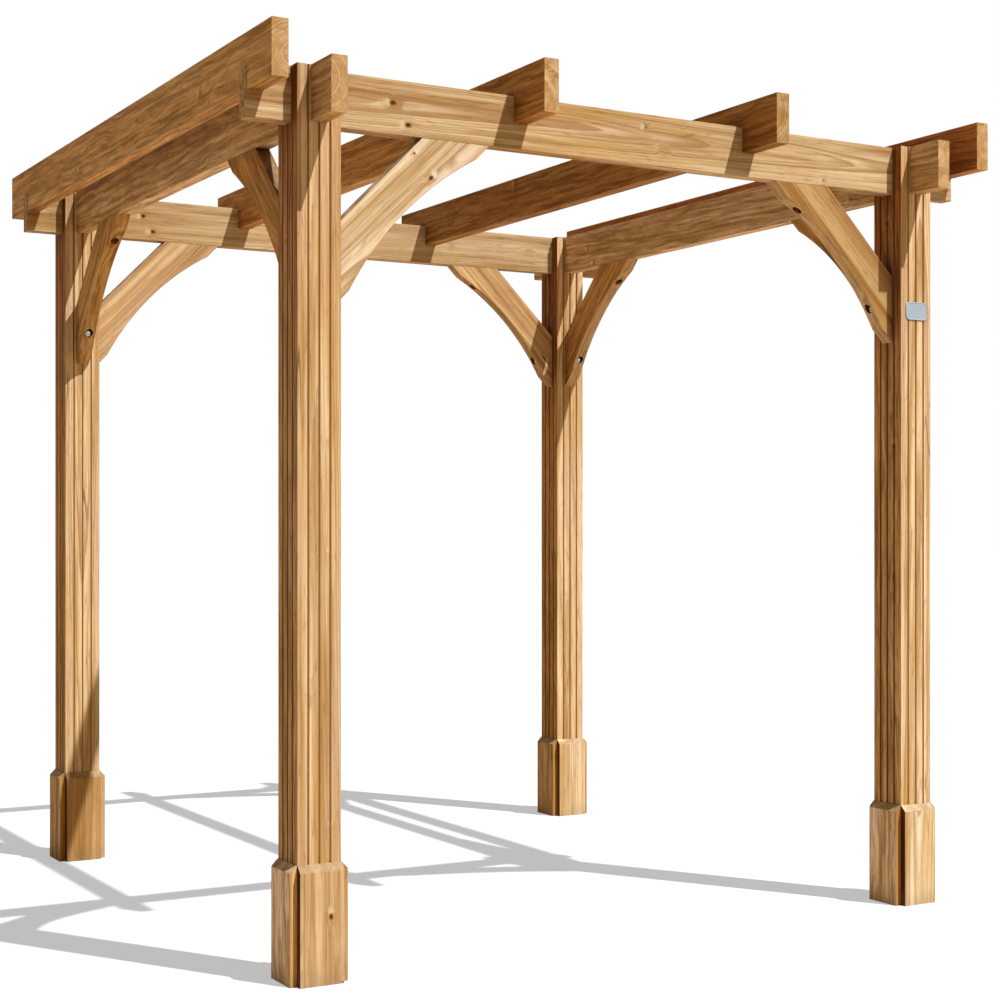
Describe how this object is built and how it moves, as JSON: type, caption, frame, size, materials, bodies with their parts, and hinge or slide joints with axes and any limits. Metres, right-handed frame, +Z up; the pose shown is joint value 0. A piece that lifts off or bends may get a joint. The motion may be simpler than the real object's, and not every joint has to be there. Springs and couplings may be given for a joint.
{
  "type": "wooden pergola",
  "caption": "Open square timber pergola: grooved posts with bevelled skirting, slotted tops that hold crossed beams, notched rafters above and hollow-edged knee braces.",
  "frame": {"origin": "on the ground under the middle of the frame", "axes": "+X along the front from left to right, +Y from the front to the back, +Z up"},
  "size_m": [2.4, 2.4, 2.428],
  "materials": {
    "post_timber": "planed softwood, honey-brown stain, satin",
    "beam_timber": "planed softwood, honey-brown stain, satin",
    "rafter_timber": "planed softwood, honey-brown stain, satin",
    "brace_timber": "planed softwood, honey-brown stain, satin",
    "skirt_timber": "planed softwood, honey-brown stain, satin",
    "bolt_zinc": "bright zinc plate",
    "blank_plate": "pale blue-grey anodised, bare"
  },
  "bodies": {
    "root": {"beam_front": "beam_timber", "post_front_left": "post_timber", "brace_front_beam_left": "brace_timber", "brace_left_beam_front": "brace_timber", "skirt_front_left_front": "skirt_timber", "skirt_front_left_back": "skirt_timber", "skirt_front_left_left": "skirt_timber", "skirt_front_left_right": "skirt_timber", "post_front_right": "post_timber", "brace_front_beam_right": "brace_timber", "brace_right_beam_front": "brace_timber", "skirt_front_right_front": "skirt_timber", "skirt_front_right_back": "skirt_timber", "skirt_front_right_left": "skirt_timber", "skirt_front_right_right": "skirt_timber", "beam_back": "beam_timber", "post_back_left": "post_timber", "brace_back_beam_left": "brace_timber", "brace_left_beam_back": "brace_timber", "skirt_back_left_front": "skirt_timber", "skirt_back_left_back": "skirt_timber", "skirt_back_left_left": "skirt_timber", "skirt_back_left_right": "skirt_timber", "post_back_right": "post_timber", "brace_back_beam_right": "brace_timber", "brace_right_beam_back": "brace_timber", "skirt_back_right_front": "skirt_timber", "skirt_back_right_back": "skirt_timber", "skirt_back_right_left": "skirt_timber", "skirt_back_right_right": "skirt_timber", "beam_left": "beam_timber", "beam_right": "beam_timber", "rafter_1": "rafter_timber", "rafter_2": "rafter_timber", "rafter_3": "rafter_timber", "rafter_4": "rafter_timber"}
  },
  "joints": []
}
